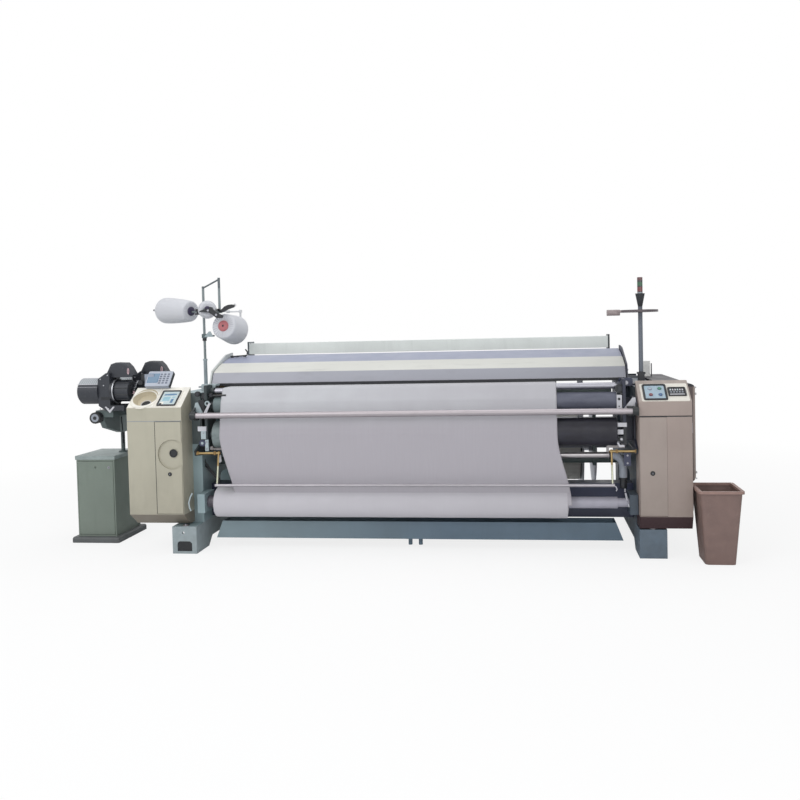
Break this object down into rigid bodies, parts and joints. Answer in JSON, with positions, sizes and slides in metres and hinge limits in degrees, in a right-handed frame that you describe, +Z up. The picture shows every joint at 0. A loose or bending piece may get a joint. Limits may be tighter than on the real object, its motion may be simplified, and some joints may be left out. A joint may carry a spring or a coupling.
{
  "type": "power loom",
  "caption": "Wide water jet power loom with side cabinets, a hinged hood, cloth rollers, a cloth roll, a warp beam, weft feeders, a yarn stand and a waste bin.",
  "frame": {"origin": "centre of the four anchor holes of the side frames, on the floor", "axes": "+X to the right as the weaver sees the loom, +Y from the weaver to the warp beam, +Z up"},
  "size_m": [4.415, 1.9989, 1.841],
  "materials": {
    "frame_blue": "satin",
    "foot_blue": "satin",
    "navy_paint": "satin",
    "trough_paint": "satin",
    "pale_paint": "satin",
    "beige_paint": "satin",
    "door_paint": "satin",
    "hood_paint": "satin",
    "plate_paint": "satin",
    "green_paint": "satin",
    "grey_paint": "satin",
    "steel": "satin",
    "rail_steel": "satin",
    "brass": "satin",
    "roller_rubber": "matte",
    "belt_rubber": "matte",
    "cloth_white": "matte",
    "yarn_white": "matte",
    "warp_white": "matte",
    "white_plastic": "satin",
    "grey_plastic": "matte",
    "feeder_black": "matte",
    "bin_plastic": "matte",
    "screen_plastic": "satin",
    "panel_plastic": "satin",
    "button_grey": "satin",
    "button_green": "satin",
    "button_red": "satin",
    "button_blue": "satin",
    "lamp_plastic": "satin",
    "hose_plastic": "matte",
    "aluminium": "satin"
  },
  "bodies": {
    "loom": {"left_side_frame": "frame_blue", "right_side_frame": "frame_blue", "front_beam": "navy_paint", "top_beam": "pale_paint", "water_trough": "trough_paint", "front_rail": "rail_steel", "front_brackets": "grey_paint", "cloth": "cloth_white", "hood_plates": "plate_paint", "left_cabinet": "beige_paint", "right_cabinet": "beige_paint", "left_desk": "beige_paint", "right_desk": "beige_paint", "touch_screen": "screen_plastic", "button_panel": "panel_plastic", "counter": "screen_plastic", "keypad_terminal": "grey_plastic", "side_cover": "beige_paint", "pedestal_box": "green_paint", "feeder_stand": "grey_paint", "front_feeder": "feeder_black", "rear_feeder": "feeder_black", "yarn_stand": "grey_paint", "yarn_cones": "yarn_white", "lamp_post": "grey_paint", "lamp_tower": "lamp_plastic", "waste_bin": "bin_plastic", "warp_sheet": "warp_white", "drive_belt": "belt_rubber", "main_motor": "grey_paint", "weft_pump": "steel", "weft_nozzle": "brass", "suction_tube": "rail_steel", "ribbed_hose": "hose_plastic"},
    "hood": {"hood": "hood_paint"},
    "left_door": {"left_door": "door_paint"},
    "right_door": {"right_door": "door_paint"},
    "pedestal_door": {"pedestal_door": "green_paint"},
    "grey_button": {"grey_button": "button_grey"},
    "green_button": {"green_button": "button_green"},
    "red_button": {"red_button": "button_red"},
    "blue_button": {"blue_button": "button_blue"},
    "stop_bar": {"stop_bar": "steel"},
    "breast_tube": {"breast_tube": "steel"},
    "upper_roller": {"upper_roller": "roller_rubber"},
    "lower_roller": {"lower_roller": "roller_rubber"},
    "cloth_roll": {"cloth_roll": "cloth_white", "cloth_core": "white_plastic"},
    "back_rest": {"back_rest": "steel"},
    "warp_beam": {"warp_beam": "aluminium", "warp_yarn": "warp_white"},
    "sley": {"sley": "grey_paint", "reed": "steel"},
    "odd_healds": {"odd_heald_frames": "aluminium"},
    "even_healds": {"even_heald_frames": "aluminium"},
    "crank": {"crank_shaft": "steel", "drive_pulley": "frame_blue"},
    "motor_pulley": {"motor_pulley": "frame_blue"},
    "front_flyer": {"front_flyer": "aluminium"},
    "rear_flyer": {"rear_flyer": "aluminium"}
  },
  "joints": [
    {"name": "hood_hinge", "type": "hinge", "parent": "loom", "child": "hood", "pos_m": [0, -0.032, 1.24], "axis": [-1, 0, 0], "range_deg": [0, 55]},
    {"name": "left_door_hinge", "type": "hinge", "parent": "loom", "child": "left_door", "pos_m": [-1.658, -0.68, 0.568], "axis": [0, 0, -1], "range_deg": [0, 95]},
    {"name": "right_door_hinge", "type": "hinge", "parent": "loom", "child": "right_door", "pos_m": [1.575, -0.68, 0.568], "axis": [0, 0, 1], "range_deg": [0, 95]},
    {"name": "pedestal_door_hinge", "type": "hinge", "parent": "loom", "child": "pedestal_door", "pos_m": [-2.3774, -0.38, 0.3075], "axis": [0, 0, -1], "range_deg": [0, 100]},
    {"name": "stop_bar_pivot", "type": "hinge", "parent": "loom", "child": "stop_bar", "pos_m": [0, -0.63, 0.655], "axis": [-1, 0, 0], "range_deg": [0, 25]},
    {"name": "warp_beam_turn", "type": "hinge", "parent": "loom", "child": "warp_beam", "pos_m": [0, 0.79, 0.52], "axis": [1, 0, 0], "continuous": true},
    {"name": "back_rest_turn", "type": "hinge", "parent": "loom", "child": "back_rest", "pos_m": [0, 0.57, 1.11], "axis": [1, 0, 0], "continuous": true},
    {"name": "breast_tube_turn", "type": "hinge", "parent": "loom", "child": "breast_tube", "pos_m": [0, -0.55, 1.053], "axis": [1, 0, 0], "continuous": true},
    {"name": "upper_roller_turn", "type": "hinge", "parent": "loom", "child": "upper_roller", "pos_m": [0, -0.56, 0.963], "axis": [1, 0, 0], "continuous": true},
    {"name": "lower_roller_turn", "type": "hinge", "parent": "loom", "child": "lower_roller", "pos_m": [0, -0.56, 0.769], "axis": [1, 0, 0], "continuous": true},
    {"name": "cloth_roll_turn", "type": "hinge", "parent": "loom", "child": "cloth_roll", "pos_m": [0, -0.55, 0.322], "axis": [1, 0, 0], "continuous": true},
    {"name": "sley_rock", "type": "hinge", "parent": "loom", "child": "sley", "pos_m": [0, -0.21, 0.54], "axis": [-1, 0, 0], "range_deg": [-5, 5]},
    {"name": "even_healds_lift", "type": "slide", "parent": "loom", "child": "even_healds", "axis": [0, 0, 1], "range_m": [-0.03, 0.03]},
    {"name": "odd_healds_lift", "type": "slide", "parent": "loom", "child": "odd_healds", "axis": [0, 0, 1], "range_m": [-0.03, 0.03]},
    {"name": "crank_turn", "type": "hinge", "parent": "loom", "child": "crank", "pos_m": [0, 0.04, 0.6], "axis": [1, 0, 0], "continuous": true},
    {"name": "motor_turn", "type": "hinge", "parent": "loom", "child": "motor_pulley", "pos_m": [0, 0.37, 0.2], "axis": [1, 0, 0], "continuous": true},
    {"name": "front_flyer_turn", "type": "hinge", "parent": "loom", "child": "front_flyer", "pos_m": [-2.044, -0.425, 1.056], "axis": [1, 0, 0], "continuous": true},
    {"name": "rear_flyer_turn", "type": "hinge", "parent": "loom", "child": "rear_flyer", "pos_m": [-1.899, -0.23, 1.056], "axis": [1, 0, 0], "continuous": true},
    {"name": "grey_button_press", "type": "slide", "parent": "loom", "child": "grey_button", "axis": [0, 0.6, -0.8], "range_m": [0, 0.0025], "stiffness_N_per_m": 400, "springref_m": -0.002},
    {"name": "green_button_press", "type": "slide", "parent": "loom", "child": "green_button", "axis": [0, 0.6, -0.8], "range_m": [0, 0.0025], "stiffness_N_per_m": 400, "springref_m": -0.002},
    {"name": "red_button_press", "type": "slide", "parent": "loom", "child": "red_button", "axis": [0, 0.6, -0.8], "range_m": [0, 0.0025], "stiffness_N_per_m": 400, "springref_m": -0.002},
    {"name": "blue_button_press", "type": "slide", "parent": "loom", "child": "blue_button", "axis": [0, 0.6, -0.8], "range_m": [0, 0.0025], "stiffness_N_per_m": 400, "springref_m": -0.002}
  ],
  "couplings": [
    {"joint": "back_rest_turn", "follows": "warp_beam_turn", "ratio": 4.9801},
    {"joint": "breast_tube_turn", "follows": "warp_beam_turn", "ratio": 14.793},
    {"joint": "upper_roller_turn", "follows": "warp_beam_turn", "ratio": 5.7419},
    {"joint": "lower_roller_turn", "follows": "warp_beam_turn", "ratio": 3.4399},
    {"joint": "cloth_roll_turn", "follows": "warp_beam_turn", "ratio": 3.0549},
    {"joint": "odd_healds_lift", "follows": "even_healds_lift", "ratio": -1},
    {"joint": "motor_turn", "follows": "crank_turn", "ratio": 2.3562}
  ]
}
